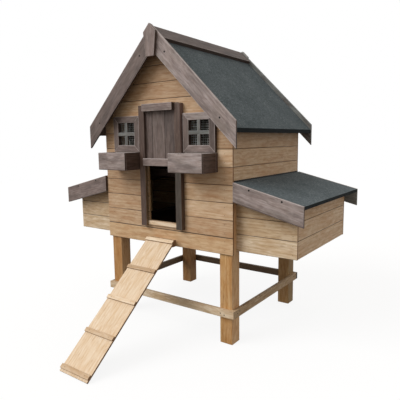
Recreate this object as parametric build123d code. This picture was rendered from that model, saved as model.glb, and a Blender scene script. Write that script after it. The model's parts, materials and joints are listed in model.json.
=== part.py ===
from build123d import *
import math
import os

# All sizes in millimetres. X runs across the front, Y from front to back, Z up from the ground.
# Positions are worked out with y = 0 on the front wall face; save() centres the whole in Y.

# Wall boards, tongued and grooved
board_w = 90.0
board_t = 12.0
tongue_t = 4.0
tongue_len = 6.0
tongue_play = 0.3
v_cut = 2.5

# House frame
house_w = 900.0
house_d = 800.0
skirt_z = 488.0
eaves_z = 1167.0
post = 75.0
rail_z = 152.0
rail_h = 42.0
rail_t = 20.0
batten_t = 20.0
batten_w = 45.0
stud_rows = 7
stud_inset = 25.0

# Floor
floor_t = 12.0
floor_drop = 3.0
bearer_w = 45.0
bearer_h = 48.0
bearer_x = 200.0

# Roof
roof_pitch = 45.0
deck_t = 12.0
felt_t = 3.0
felt_drop = 22.0
eaves_out = 55.0
gable_out = 58.0
barge_t = 12.0
barge_w = 92.0
barge_rise = 24.5
barge_reach = 6.0
finial_w = 84.0
finial_foot = 56.0
finial_h = 167.0
finial_t = 16.0
finial_proud = 2.0
cap_w = 95.0
cap_t = 20.0
beam_w = 20.0
beam_h = 70.0

# Pop hole, its tracks and sliding door
pop_w = 216.0
pop_rows = 4
sill_rise = 42.0
sill_h = 23.0
sill_play = 0.5
track_w = 40.0
track_d = 29.0
track_foot = 29.0
track_short = 5.0
rebate_w = 13.0
slide_gap = 0.5
door_side_play = 1.5
door_lap = 18.0
door_sight = 2.0
door_batten_h = 40.0
door_batten_t = 34.0

# Windows and planters
win_inset = 4.5
win_face = 37.0
win_t = 19.0
win_lift = 2.0
win_hole_play = 4.0
bar_w = 20.0
bar_t = 12.0
bar_set = 1.0
mesh_pitch = 12.7
mesh_wire = 1.2
mesh_edge = 8.0
planter_h = 97.0
planter_d = 142.0
planter_back_t = 18.0
planter_gap = 5.0
planter_lap = 1.0
planter_z = 912.0

# Nest boxes and their lids
nest_z = 501.0
nest_rows = 3
nest_out = 321.5
nest_inset = 56.0
nest_head = 40.0
nest_head_row = 3
nest_corner = 20.0
divider_drop = 8.0
lid_pitch = 13.9
lid_over = 53.5
lid_barge_w = 96.0
lid_felt_drop = 15.0
lid_rail_h = 30.0
lid_rail_play = 4.0
lid_play = 0.3

# Perches
perch = 45.0
perch_round = 10.0
perch_lift = 275.0
perch_inset = 280.0
perch_end_play = 1.0
cradle_wall = 12.0
cradle_t = 30.0
cradle_base = 20.0
cradle_lip = 34.0
cradle_play = 0.3

# Ramp
ramp_w = 196.0
ramp_len = 821.0
ramp_t = 9.5
ramp_top_z = 527.0
cleat_count = 5
cleat_w = 22.0
cleat_t = 9.0
cleat_over = 1.0
cleat_head_d = 23.0
cleat_toe_d = 12.0
ledger_w = 157.0
ledger_d = 28.0
ledger_h = 39.0

# Rear door and its turn button
rear_w = 500.0
rear_rows = 5
rear_gap = 2.0
rear_stop = 15.0
ledge_x = 160.0
ledge_inset = 30.0
button_len = 80.0
button_w = 22.0
button_t = 12.0
button_off = 22.0
button_lift = 1.0
pivot_r = 3.0
pivot_head_r = 7.0
pivot_head_t = 2.0

# Butt hinges, and a long one with more knuckles for each lid
hinge_w = 60.0
hinge_knuckles = 3
knuckle_r = 3.0
knuckle_play = 0.3
knuckle_gap = 0.4
leaf_t = 1.5
leaf_notch = 0.6
pin_r = 1.5
pin_play = 0.08
lid_leaf = 15.0
lid_knuckles = 7
ramp_leaf = 15.0
rear_leaf = 40.0
hinge_above = 0.5
lid_hinge_inset = 12.0
ramp_hinge_x = 45.0
rear_hinge_inset = 90.0

# Worked-out positions
half_w = house_w / 2
in_x = half_w - board_t
in_back = house_d - board_t
wall_z = skirt_z + board_w
floor_top = wall_z - floor_drop
roof_angle = math.radians(roof_pitch)
lid_angle = math.radians(lid_pitch)
eave_x = half_w + eaves_out
gable_front = -gable_out
gable_back = house_d + gable_out
barge_n = deck_t + felt_t + barge_rise
pop_x = pop_w / 2
track_x = pop_x + track_w
rebate_d = board_t + 2 * slide_gap
sill_top = wall_z + sill_rise
pop_top = wall_z + pop_rows * board_w
door_h = pop_top - sill_top + door_lap
door_z = pop_top - door_sight
door_x = pop_x + rebate_w - door_side_play
planter_x = track_x + planter_gap
planter_far = in_x - post + planter_lap
planter_top = planter_z + planter_h
win_x = (planter_x + planter_far) / 2
win_half = (planter_far - planter_x) / 2 - win_inset
win_in = win_half - win_face
win_hole = win_in + win_hole_play
win_z = planter_top + win_lift + win_half
mesh_gaps = math.ceil(2 * win_in / mesh_pitch)
nest_x = half_w + nest_out
nest_in_x = nest_x - board_t
nest_front = nest_inset
nest_back = house_d - nest_inset
nest_top = nest_z + nest_rows * board_w
nest_floor = nest_z + board_t + floor_t
nest_head_z = wall_z + nest_head_row * board_w - nest_head
hinge_gap = 2 * (knuckle_r + knuckle_play)
hinge_rise = knuckle_r + hinge_above
lid_x = half_w + hinge_gap
lid_end = nest_x + lid_over
ramp_y = -ledger_d - hinge_gap
ramp_angle = math.asin(ramp_top_z / math.hypot(ramp_len, ramp_t)) - math.atan2(ramp_t, ramp_len)
rear_x = rear_w / 2
rear_top = wall_z + rear_rows * board_w
button_z = (wall_z + rear_top) / 2
far = 4 * house_w


def block(x0, x1, y0, y1, z0, z1):
    return Pos((x0 + x1) / 2, (y0 + y1) / 2, (z0 + z1) / 2) * Box(x1 - x0, y1 - y0, z1 - z0)


def prism_x(outline, x0, x1):
    """Solid with a (y, z) outline between two x planes."""
    return extrude(Plane.YZ.offset(x0) * Polygon(*outline, align=None), amount=x1 - x0, dir=(1, 0, 0))


def prism_y(outline, y0, y1):
    """Solid with an (x, z) outline between two y planes."""
    return extrude(Plane.XZ.offset(-y0) * Polygon(*outline, align=None), amount=y1 - y0, dir=(0, 1, 0))


def both(shapes):
    """The right-hand pieces and their mirror images."""
    return [*shapes, *(mirror(shape, about=Plane.YZ) for shape in shapes)]


def roof_under(x):
    return eaves_z + (half_w - x) * math.tan(roof_angle)


def lid_under(x):
    return nest_top + lid_play + (nest_x - x) * math.tan(lid_angle)


def strip(under, angle, x0, x1, n0, n1, y0, y1):
    """Piece along a slope with plumb ends, n0 to n1 square off the deck's underside."""
    low = n0 / math.cos(angle)
    high = n1 / math.cos(angle)
    outline = [(x0, under(x0) + low), (x1, under(x1) + low), (x1, under(x1) + high), (x0, under(x0) + high)]
    return prism_y(outline, y0, y1)


def felt(under, angle, x0, x1, drop, y0, y1):
    """Felt over a deck, turned down over its outer edge."""
    low = deck_t / math.cos(angle)
    high = (deck_t + felt_t) / math.cos(angle)
    turn = under(x1) + low - drop
    end = x1 + felt_t
    outline = [(x0, under(x0) + low), (x1, under(x1) + low), (x1, turn), (end, turn)]
    outline += [(end, under(end) + high), (x0, under(x0) + high)]
    return prism_y(outline, y0, y1)


def roof_piece(x0, x1, n0, n1, y0, y1):
    return strip(roof_under, roof_angle, x0, x1, n0, n1, y0, y1)


def lid_piece(x0, x1, n0, n1, y0, y1):
    return strip(lid_under, lid_angle, x0, x1, n0, n1, y0, y1)


def above_roof(drop):
    """Everything above the roof deck's underside, lowered by drop."""
    side = roof_under(in_x + post) - drop
    x = in_x + post
    outline = [(-x, side), (0, roof_under(0) - drop), (x, side), (x, far), (-x, far)]
    return prism_y(outline, -house_d, 2 * house_d)


def board(length, cover=board_w, groove=True, tongue=True):
    """Board along X with its face on y = 0 and its lower shoulder on z = 0."""
    mid = board_t / 2
    half = tongue_t / 2
    slot = half + tongue_play
    deep = tongue_len + tongue_play
    outline = [(0, v_cut), (v_cut, 0)]
    if groove:
        outline += [(mid - slot, 0), (mid - slot, deep), (mid + slot, deep), (mid + slot, 0)]
    outline += [(board_t, 0), (board_t, cover)]
    if tongue:
        tip = cover + tongue_len
        outline += [(mid + half, cover), (mid + half, tip), (mid - half, tip), (mid - half, cover)]
    outline += [(v_cut, cover), (0, cover - v_cut)]
    return prism_x(outline, -length / 2, length / 2)


def facing(x, y, along):
    """Place with the boards' face outwards at a point of a wall, seen with X along it."""
    return Plane((x, y, 0), x_dir=along, z_dir=(0, 0, 1)).location


def rows(place, first_z, count, length, closed_top=False):
    """Boards one above the other; the lowest has no groove."""
    pieces = []
    for row in range(count):
        plank = board(length, groove=row > 0, tongue=not (closed_top and row == count - 1))
        pieces.append(place * Pos(0, 0, first_z + row * board_w) * plank)
    return pieces


def cut(pieces, tools):
    """What is left of each piece after the tools."""
    left = []
    for piece in pieces:
        for tool in tools:
            piece = piece - tool
        left += piece.solids()
    return left


def butt_hinge(leaf, length, knuckles):
    """Folded hinge along X: leaves hang down, the fixed one on the +Y side and with the end knuckles."""
    step = length / knuckles
    clear = knuckle_r + leaf_notch
    bore = Rot(0, 90, 0) * Cylinder(pin_r + pin_play, 2 * length)
    knuckle = Rot(0, 90, 0) * Cylinder(knuckle_r, step - knuckle_gap)
    fixed = block(-length / 2, length / 2, hinge_gap / 2 - leaf_t, hinge_gap / 2, -leaf, 0)
    moving = mirror(fixed, about=Plane.XZ)
    for index in range(knuckles):
        x = (index + 0.5) * step - length / 2
        notch = block(x - step / 2, x + step / 2, -hinge_gap, hinge_gap, -clear, clear)
        if index % 2 == 0:
            fixed = fixed + Pos(x, 0, 0) * knuckle
            moving = moving - notch
        else:
            fixed = fixed - notch
            moving = moving + Pos(x, 0, 0) * knuckle
    pin = Rot(0, 90, 0) * Cylinder(pin_r, length)
    return fixed - bore, moving - bore, pin


def hinges(places, leaf, length=hinge_w, knuckles=hinge_knuckles, open_flat=False):
    """Hinges at several places: fixed leaves, moving leaves and pins."""
    fixed, moving, pin = butt_hinge(leaf, length, knuckles)
    if open_flat:
        moving = Rot(180, 0, 0) * moving
    return [[place * piece for place in places] for piece in (fixed, moving, pin)]


def ramp_point(along, off):
    """Point in (y, z) down the ramp from its top corner and square off its upper face."""
    y = ramp_y - along * math.cos(ramp_angle) - off * math.sin(ramp_angle)
    return (y, ramp_top_z - along * math.sin(ramp_angle) + off * math.cos(ramp_angle))


cleat_last = ramp_len - cleat_toe_d
cleat_step = (cleat_last - cleat_head_d) / (cleat_count - 1)
front_reach = min(ramp_point(ramp_len, 0)[0], ramp_point(cleat_last, cleat_t)[0])
mid_y = (front_reach + gable_back + barge_t + finial_t) / 2
os.makedirs("parts", exist_ok=True)


def save(node, shapes):
    solids = [Pos(0, -mid_y, 0) * solid for shape in shapes for solid in shape.solids()]
    export_step(Compound(solids) if len(solids) > 1 else solids[0], f"parts/{node}.step")


# Legs with tops cut to the rafters, and the rails round them
rafter_drop = batten_w / math.cos(roof_angle)
post_y = {"front": board_t, "back": in_back - post}
for end, y in post_y.items():
    leg = block(in_x - post, in_x, y, y + post, 0, roof_under(0)) - above_roof(rafter_drop)
    save(f"leg_{end}_right", [leg])
    save(f"leg_{end}_left", [mirror(leg, about=Plane.YZ)])
rail_x = in_x + rail_t
rail_top = rail_z + rail_h
save("rails_side", both([block(in_x, rail_x, board_t, in_back, rail_z, rail_top)]))
front_rail = block(-rail_x, rail_x, board_t - rail_t, board_t, rail_z, rail_top)
save("rails_cross", [front_rail, Pos(0, house_d - 2 * board_t + rail_t, 0) * front_rail])

# Floor on its bearers
bearer_top = floor_top - floor_t
floor = block(-in_x, in_x, board_t, in_back, bearer_top, floor_top)
corners = both([block(in_x - post, in_x, y, y + post, 0, far) for y in post_y.values()])
save("floor_panel", cut([floor], corners))
span = in_x - post
long_bearers = [
    block(-span, span, board_t, board_t + bearer_w, bearer_top - bearer_h, bearer_top),
    block(-span, span, in_back - bearer_w, in_back, bearer_top - bearer_h, bearer_top),
]
cross = block(
    bearer_x - bearer_w / 2,
    bearer_x + bearer_w / 2,
    board_t + bearer_w,
    in_back - bearer_w,
    bearer_top - bearer_h,
    bearer_top,
)
save("floor_bearers", [*long_bearers, *both([cross])])

# Skirt boards and the two gable walls
front_face = facing(0, 0, (1, 0, 0))
back_face = facing(0, house_d, (-1, 0, 0))
skirt = Pos(0, 0, skirt_z) * board(house_w, groove=False, tongue=False)
save("skirt_boards", [front_face * skirt, back_face * skirt])
gable_rows = math.ceil((roof_under(0) - wall_z) / board_w)
roof_cut = above_roof(0)
pop_hole = block(-pop_x, pop_x, -board_t, 2 * board_t, sill_top, pop_top)
win_holes = both(
    [block(win_x - win_hole, win_x + win_hole, -board_t, 2 * board_t, win_z - win_hole, win_z + win_hole)]
)
front_boards = rows(front_face, wall_z, gable_rows, house_w)
save("front_wall_boards", cut(front_boards, [pop_hole, *win_holes, roof_cut]))
button_x = rear_x + button_off
pivot = Pos(button_x, house_d, button_z) * Rot(90, 0, 0)
doorway = block(-rear_x, rear_x, in_back - board_t, house_d + board_t, wall_z, rear_top)
back_boards = rows(back_face, wall_z, gable_rows, house_w)
pivot_hole = pivot * Cylinder(pivot_r, 2 * board_t)
save("back_wall_boards", cut(back_boards, [doorway, pivot_hole, roof_cut]))

# Side walls above the nest openings, each with the lip board between cabin and nest
side_rows = math.ceil((eaves_z - nest_head_z - nest_head) / board_w)
side_len = house_d - 2 * board_t
right_face = facing(half_w, house_d / 2, (0, 1, 0))
head = right_face * Pos(0, 0, nest_head_z) * board(side_len, cover=nest_head, groove=False)
side = [head]
for row in range(side_rows):
    side.append(right_face * Pos(0, 0, nest_head_z + nest_head + row * board_w) * board(side_len))
lip_front = nest_front + board_t + nest_corner
lip = block(in_x, half_w, lip_front, house_d - lip_front, nest_z, nest_z + board_w)
right_wall = [*cut(side, [roof_cut]), lip]
save("right_wall_boards", right_wall)
save("left_wall_boards", [mirror(piece, about=Plane.YZ) for piece in right_wall])

# Battens behind the boards
stud_top = wall_z + stud_rows * board_w
stud_x = pop_x + stud_inset
pop_stud = block(stud_x, stud_x + batten_w, board_t, board_t + batten_t, floor_top, stud_top)
rear_stud_x = rear_x - rear_stop
rear_stud = block(rear_stud_x, rear_stud_x + batten_w, in_back - batten_t, in_back, floor_top, stud_top)
eaves_low = roof_under(in_x) - batten_w
eaves_in = in_x - batten_t
eaves_outline = [(in_x, eaves_low), (in_x, roof_under(in_x))]
eaves_outline += [(eaves_in, roof_under(eaves_in)), (eaves_in, eaves_low)]
eaves_batten = prism_y(eaves_outline, board_t + post, in_back - post)
save("wall_battens", both([pop_stud, rear_stud, eaves_batten]))

# Roof structure
rafters = [
    roof_piece(beam_w / 2, in_x, -batten_w, 0, board_t, board_t + batten_t),
    roof_piece(beam_w / 2, in_x, -batten_w, 0, in_back - batten_t, in_back),
]
save("gable_rafters", both(rafters))
beam_x = beam_w / 2
beam_low = roof_under(0) - beam_h
beam = [(-beam_x, beam_low), (beam_x, beam_low), (beam_x, roof_under(beam_x))]
beam += [(0, roof_under(0)), (-beam_x, roof_under(beam_x))]
save("ridge_beam", [prism_y(beam, board_t, in_back)])
deck = roof_piece(0, eave_x, 0, deck_t, gable_front, gable_back)
roof_felt = felt(roof_under, roof_angle, 0, eave_x, felt_drop, gable_front, gable_back)
for name, piece in (("roof_deck", deck), ("roof_felt", roof_felt)):
    save(f"{name}_right", [piece])
    save(f"{name}_left", [mirror(piece, about=Plane.YZ)])

# Ridge caps, mitred at the top and square at the lower edge
cap_low = deck_t + felt_t
cap_high = cap_low + cap_t
cap_end = cap_w - cap_high * math.tan(roof_angle)


def slope_point(along, off):
    """Point in (x, z) down the roof from the ridge and square off the deck's underside."""
    x = along * math.cos(roof_angle) + off * math.sin(roof_angle)
    return (x, roof_under(0) - along * math.sin(roof_angle) + off * math.cos(roof_angle))


cap = [(0, roof_under(0) + cap_low / math.cos(roof_angle)), slope_point(cap_end, cap_low)]
cap += [slope_point(cap_end, cap_high), (0, roof_under(0) + cap_high / math.cos(roof_angle))]
save("ridge_caps", both([prism_y(cap, gable_front, gable_back)]))

# Barge boards and finials
barge_x = eave_x + barge_reach
front_barge = roof_piece(0, barge_x, barge_n - barge_w, barge_n, gable_front - barge_t, gable_front)
back_barge = roof_piece(0, barge_x, barge_n - barge_w, barge_n, gable_back, gable_back + barge_t)
save("barge_front", both([front_barge]))
save("barge_back", both([back_barge]))
finial_top = roof_under(0) + barge_n / math.cos(roof_angle) + finial_proud
shoulder = finial_top - finial_w / 2 * math.tan(roof_angle)
finial = [(0, finial_top), (finial_w / 2, shoulder), (finial_foot / 2, finial_top - finial_h)]
finial += [(-finial_foot / 2, finial_top - finial_h), (-finial_w / 2, shoulder)]
front_finial = prism_y(finial, gable_front - barge_t - finial_t, gable_front - barge_t)
back_finial = prism_y(finial, gable_back + barge_t, gable_back + barge_t + finial_t)
save("finials", [front_finial, back_finial])

# Tracks, sill and sliding door of the pop hole
track_top = door_z + door_h - track_short
track = block(pop_x, track_x, -track_d, 0, sill_top - track_foot, track_top)
track = track - block(pop_x, pop_x + rebate_w, -rebate_d, 0, 0, far)
save("door_tracks", both([track]))
sill_x = pop_x + rebate_w - sill_play
save("door_sill", [block(-sill_x, sill_x, -rebate_d, 0, sill_top - sill_h, sill_top)])
door_place = Pos(door_x, slide_gap - rebate_d, door_z + door_h / 2) * Rot(0, -90, 0)
door_rest = 2 * (door_x - board_w)
door_boards = [
    board(door_h, groove=False),
    Pos(0, 0, board_w) * board(door_h),
    Pos(0, 0, 2 * board_w) * board(door_h, cover=door_rest, tongue=False),
]
save("pop_door_boards", [door_place * piece for piece in door_boards])
door_batten_x = pop_x - door_side_play
door_face = slide_gap - rebate_d
low_batten = block(
    -door_batten_x, door_batten_x, door_face - door_batten_t, door_face, door_z, door_z + door_batten_h
)
save("pop_door_battens", [low_batten, Pos(0, 0, door_h - door_batten_h) * low_batten])

# Windows: mitred frames, lapped bars and mesh
mitred = [(-win_half, win_half), (win_half, win_half), (win_in, win_in), (-win_in, win_in)]
member = prism_y(mitred, -win_t, 0)
frame = [Pos(win_x, 0, win_z) * Rot(0, 90 * turn, 0) * member for turn in range(4)]
save("window_frame_right", frame)
save("window_frame_left", [mirror(piece, about=Plane.YZ) for piece in frame])
bar_front = bar_set - win_t
bar_back = bar_front + bar_t
bar_mid = (bar_front + bar_back) / 2
lap = bar_w / 2
upright = block(-lap, lap, bar_front, bar_back, -win_in, win_in)
upright = upright - block(-lap, lap, bar_front, bar_mid, -lap, lap)
level = block(-win_in, win_in, bar_front, bar_back, -lap, lap)
level = level - block(-lap, lap, bar_mid, bar_back, -lap, lap)
save("window_bars", both([Pos(win_x, 0, win_z) * upright, Pos(win_x, 0, win_z) * level]))
mesh_side = mesh_gaps * mesh_pitch + 2 * mesh_edge
gap = mesh_pitch - mesh_wire
gaps = GridLocations(mesh_pitch, mesh_pitch, mesh_gaps, mesh_gaps) * Rectangle(gap, gap)
net = Rectangle(mesh_side, mesh_side) - gaps
mesh = extrude(Plane.XZ.offset(-board_t) * net, amount=mesh_wire, dir=(0, 1, 0))
save("window_mesh", both([Pos(win_x, 0, win_z) * mesh]))

# Planters
inside_front = board_t - planter_d
end_x = planter_far - board_t
planter = [
    block(planter_x, planter_far, -planter_d, inside_front, planter_z, planter_top),
    block(planter_x, planter_far, -planter_back_t, 0, planter_z, planter_top),
    block(planter_x, planter_x + board_t, inside_front, -planter_back_t, planter_z, planter_top),
    block(end_x, planter_far, inside_front, -planter_back_t, planter_z, planter_top),
    block(planter_x + board_t, end_x, inside_front, -planter_back_t, planter_z, planter_z + board_t),
]
save("planter_right", planter)
save("planter_left", [mirror(piece, about=Plane.YZ) for piece in planter])

# Nest boxes: boards with tops cut to the lid's slope
box_len = nest_x - in_x
taper = box_len * math.tan(lid_angle) + 2 * v_cut
lid_slope = [(in_x, lid_under(in_x) - lid_play), (nest_x, nest_top), (nest_x, far), (in_x, far)]
lid_cut = prism_y(lid_slope, 0, house_d)
wall_notch = block(in_x, half_w, 0, house_d, nest_head_z, far)
ends = []
for y, along in ((nest_front, (1, 0, 0)), (nest_back, (-1, 0, 0))):
    place = facing((in_x + nest_x) / 2, y, along)
    ends += rows(place, nest_z, nest_rows, box_len, closed_top=True)
    ends.append(place * Pos(0, 0, nest_top) * board(box_len, cover=taper, groove=False, tongue=False))
outer_face = facing(nest_x, house_d / 2, (0, 1, 0))
outer = rows(outer_face, nest_z, nest_rows, nest_back - nest_front - 2 * board_t, closed_top=True)
nest = [*cut(ends, [lid_cut, wall_notch]), *outer]
save("nest_boards_right", nest)
save("nest_boards_left", [mirror(piece, about=Plane.YZ) for piece in nest])
inside = nest_front + board_t
nest_panel = block(half_w, nest_in_x, inside, house_d - inside, nest_floor - floor_t, nest_floor)
save("nest_floors", both([nest_panel]))
nest_frame = []
for y in (inside, house_d - inside - nest_corner):
    nest_frame += [
        block(half_w, nest_in_x, y, y + nest_corner, nest_z, nest_z + board_t),
        block(in_x, in_x + nest_corner, y, y + nest_corner, nest_floor, nest_head_z),
        block(nest_in_x - nest_corner, nest_in_x, y, y + nest_corner, nest_floor, nest_top),
    ]
save("nest_battens", both(nest_frame))
mid = house_d / 2
divider_low = lid_rail_h / math.cos(lid_angle) + divider_drop
divider = [(half_w, nest_floor), (nest_in_x, nest_floor)]
divider += [(nest_in_x, lid_under(nest_in_x) - divider_low), (half_w, lid_under(half_w) - divider_low)]
save("nest_dividers", both([prism_y(divider, mid - board_t / 2, mid + board_t / 2)]))

# Nest lids
lid_deck = lid_piece(lid_x, lid_end, 0, deck_t, 0, house_d)
rail_front = lip_front + lid_rail_play
lid_rail = lid_piece(lid_x, lid_x + batten_t, -lid_rail_h, 0, rail_front, house_d - rail_front)
lid_felt = felt(lid_under, lid_angle, lid_x, lid_end, lid_felt_drop, 0, house_d)
lid_n = deck_t + felt_t
lid_barge = lid_piece(lid_x, lid_end + felt_t, lid_n - lid_barge_w, lid_n, -board_t, 0)
lid_barges = [lid_barge, Pos(0, house_d + board_t, 0) * lid_barge]
lid_nodes = {"lid_deck": [lid_deck, lid_rail], "lid_felt": [lid_felt], "lid_barges": lid_barges}
for name, pieces in lid_nodes.items():
    save(f"{name}_right", pieces)
    save(f"{name}_left", [mirror(piece, about=Plane.YZ) for piece in pieces])

# Perches in their cradles
perch_low = floor_top + perch_lift
perch_x = in_x - perch_end_play
perch_bars = []
cradles = []
for y in (perch_inset, house_d - perch_inset):
    bar = block(-perch_x, perch_x, y - perch / 2, y + perch / 2, perch_low, perch_low + perch)
    perch_bars.append(fillet(bar.edges().filter_by(Axis.X).group_by(Axis.Z)[-1], perch_round))
    seat = perch / 2 + cradle_play
    cheek = seat + cradle_wall
    cradle_x = in_x - cradle_t
    cradle = block(cradle_x, in_x, y - cheek, y + cheek, perch_low - cradle_base, perch_low + cradle_lip)
    cradles.append(cradle - block(cradle_x, in_x, y - seat, y + seat, perch_low, far))
save("perches", perch_bars)
save("perch_cradles", both(cradles))

# Ramp with its cleats, hung on a ledger
save("ramp_ledger", [block(-ledger_w / 2, ledger_w / 2, -ledger_d, 0, skirt_z, skirt_z + ledger_h)])
plumb = ramp_t * math.tan(ramp_angle)
plank = [ramp_point(0, 0), ramp_point(ramp_len, 0)]
plank += [ramp_point(ramp_len, -ramp_t), ramp_point(plumb, -ramp_t)]
save("ramp_plank", [prism_x(plank, -ramp_w / 2, ramp_w / 2)])
cleats = []
cleat_x = ramp_w / 2 + cleat_over
for index in range(cleat_count):
    low = cleat_head_d + index * cleat_step
    high = low - cleat_w
    outline = [ramp_point(high, 0), ramp_point(low, 0), ramp_point(low, cleat_t), ramp_point(high, cleat_t)]
    cleats.append(prism_x(outline, -cleat_x, cleat_x))
save("ramp_cleats", cleats)

# Rear door, its ledges and the turn button
rear_first = board_w - rear_gap
rear_len = rear_w - 2 * rear_gap
rear_boards = []
for row in range(rear_rows):
    cover = rear_first if row in (0, rear_rows - 1) else board_w
    low = wall_z + row * board_w + (rear_gap if row == 0 else 0)
    piece = board(rear_len, cover=cover, groove=row > 0, tongue=row < rear_rows - 1)
    rear_boards.append(back_face * Pos(0, 0, low) * piece)
save("back_door_boards", rear_boards)
ledge = block(
    ledge_x - batten_w / 2,
    ledge_x + batten_w / 2,
    in_back - batten_t,
    in_back,
    wall_z + ledge_inset,
    rear_top - ledge_inset,
)
save("back_door_ledges", both([ledge]))
button_y = house_d + button_lift
button = block(
    button_x - button_w / 2,
    button_x + button_w / 2,
    button_y,
    button_y + button_t,
    button_z - button_len / 2,
    button_z + button_len / 2,
)
save("turn_button", [button - pivot * Cylinder(pivot_r + pin_play, far)])

# Hinges of lids, ramp and rear door, and the button's pivot
lid_axis_z = lid_under(lid_x) + lid_n / math.cos(lid_angle) + hinge_rise
lid_axis_x = half_w + hinge_gap / 2
lid_hinge_len = house_d - 2 * lid_hinge_inset
lid_places = {
    "right": Plane((lid_axis_x, house_d / 2, lid_axis_z), x_dir=(0, 1, 0), z_dir=(0, 0, 1)).location,
    "left": Plane((-lid_axis_x, house_d / 2, lid_axis_z), x_dir=(0, -1, 0), z_dir=(0, 0, 1)).location,
}
fixed_leaves = []
pins = []
for side_name, place in lid_places.items():
    fixed, moving, pin = hinges([place], lid_leaf, lid_hinge_len, lid_knuckles)
    save(f"lid_hinge_leaves_{side_name}", moving)
    fixed_leaves += fixed
    pins += pin
ramp_axis = (ramp_y + hinge_gap / 2, ramp_top_z + hinge_rise)
fixed, moving, pin = hinges([Pos(x, *ramp_axis) for x in (-ramp_hinge_x, ramp_hinge_x)], ramp_leaf)
save("ramp_hinge_leaves", moving)
fixed_leaves += fixed
pins += pin
rear_places = []
for z in (wall_z + rear_hinge_inset, rear_top - rear_hinge_inset):
    axis = Plane((-rear_x, house_d + hinge_gap / 2, z), x_dir=(0, 0, 1), z_dir=(1, 0, 0))
    rear_places.append(axis.location)
fixed, moving, pin = hinges(rear_places, rear_leaf, open_flat=True)
save("back_door_hinge_leaves", moving)
save("hinge_leaves_fixed", fixed_leaves + fixed)
pivot_top = button_lift + button_t
shank = pivot * Pos(0, 0, (board_t - pivot_top) / 2) * Cylinder(pivot_r, board_t + pivot_top)
pivot_head = pivot * Pos(0, 0, -pivot_top - pivot_head_t / 2) * Cylinder(pivot_head_r, pivot_head_t)
save("hinge_pins", pins + pin + [shank + pivot_head])
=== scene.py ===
import json
import math
import random
import zlib

import bmesh
import bpy
from mathutils import Matrix, Vector

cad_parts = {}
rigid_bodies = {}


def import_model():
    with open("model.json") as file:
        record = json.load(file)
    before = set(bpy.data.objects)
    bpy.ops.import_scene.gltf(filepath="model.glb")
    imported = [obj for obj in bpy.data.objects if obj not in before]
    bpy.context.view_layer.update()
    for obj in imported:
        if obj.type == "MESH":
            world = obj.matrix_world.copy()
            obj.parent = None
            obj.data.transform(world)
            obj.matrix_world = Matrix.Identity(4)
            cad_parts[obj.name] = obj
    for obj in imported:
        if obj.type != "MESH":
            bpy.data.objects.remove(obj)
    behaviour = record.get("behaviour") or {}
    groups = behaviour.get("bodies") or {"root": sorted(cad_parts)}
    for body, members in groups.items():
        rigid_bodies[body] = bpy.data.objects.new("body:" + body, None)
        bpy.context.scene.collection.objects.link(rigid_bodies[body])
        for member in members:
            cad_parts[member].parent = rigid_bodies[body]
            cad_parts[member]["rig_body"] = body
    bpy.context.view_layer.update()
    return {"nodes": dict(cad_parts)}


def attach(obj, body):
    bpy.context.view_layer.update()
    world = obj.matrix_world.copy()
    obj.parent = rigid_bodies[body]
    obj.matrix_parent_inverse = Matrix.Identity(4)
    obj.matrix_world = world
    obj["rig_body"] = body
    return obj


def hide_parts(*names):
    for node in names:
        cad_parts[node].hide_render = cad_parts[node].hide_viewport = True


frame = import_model()
nodes = frame["nodes"]
scene = bpy.context.scene
scene.view_settings.view_transform = "Standard"
print("frame loaded,", len(nodes), "nodes")


# sRGB hex to the linear values that Blender works in
def toLinear(hexColour):
    channels = [int(hexColour[i:i + 2], 16) / 255 for i in (1, 3, 5)]
    return [c / 12.92 if c <= 0.04045 else ((c + 0.055) / 1.055) ** 2.4 for c in channels] + [1.0]


# Adds one node. An input is a number, a hex colour, another node's output, or a node that stands for its first output;
# stops fill a colour ramp.
def addNode(tree, kind, inputs=None, stops=None, **settings):
    node = tree.nodes.new("ShaderNode" + kind)
    for key, value in settings.items():
        setattr(node, key, value)
    for key, value in (inputs or {}).items():
        source = value.outputs[0] if isinstance(value, bpy.types.Node) else value
        if isinstance(source, bpy.types.NodeSocket):
            tree.links.new(source, node.inputs[key])
        else:
            node.inputs[key].default_value = toLinear(value) if isinstance(value, str) else value
    if stops:
        elements = node.color_ramp.elements
        while len(elements) < len(stops):
            elements.new(1.0)
        for element, (place, colour) in zip(elements, stops):
            element.position = place
            element.color = toLinear(colour)
    return node


def newFinish(name):
    finish = bpy.data.materials.new(name)
    finish.use_nodes = True
    finish.node_tree.nodes.clear()
    return finish, finish.node_tree


# the end of a finish that isn't metal: relief in mm, and gloss over its colour, rougher or smoother as a noise goes
def closeFinish(tree, look, colour, gloss, height):
    rough = addNode(tree, "MapRange", {**look["rough"], "Value": gloss})
    bump = addNode(tree, "Bump", {"Strength": look["bump"], "Distance": look["relief"] / 1000, "Height": height})
    surface = addNode(tree, "BsdfPrincipled", {"IOR": 1.5, "Specular IOR Level": look["shine"], "Base Color": colour,
                                               "Roughness": rough, "Normal": bump})
    addNode(tree, "OutputMaterial", {"Surface": surface})


# 1 for rays that see the backdrop as it is: the camera's own, and those off gloss or through glass
def backdropRays(tree):
    ray = addNode(tree, "LightPath").outputs
    seen = addNode(tree, "Math", {0: ray["Is Camera Ray"], 1: ray["Is Glossy Ray"]}, operation="MAXIMUM")
    return addNode(tree, "Math", {0: seen, 1: ray["Is Transmission Ray"]}, operation="MAXIMUM")


# camera at the photograph's viewpoint, a little below the eaves and off the front right corner:
# place and nearest in metres, angles in degrees, lens and sensor in millimetres
photoCamera = {
    "place": (1.5652, -1.92959, 1.0762),
    "yaw": 35.84,
    "pitch": 7.965,
    "roll": -0.745,
    "lens": 38.87,
    "sensor": 36.0,
    "nearest": 0.05,
}

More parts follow.
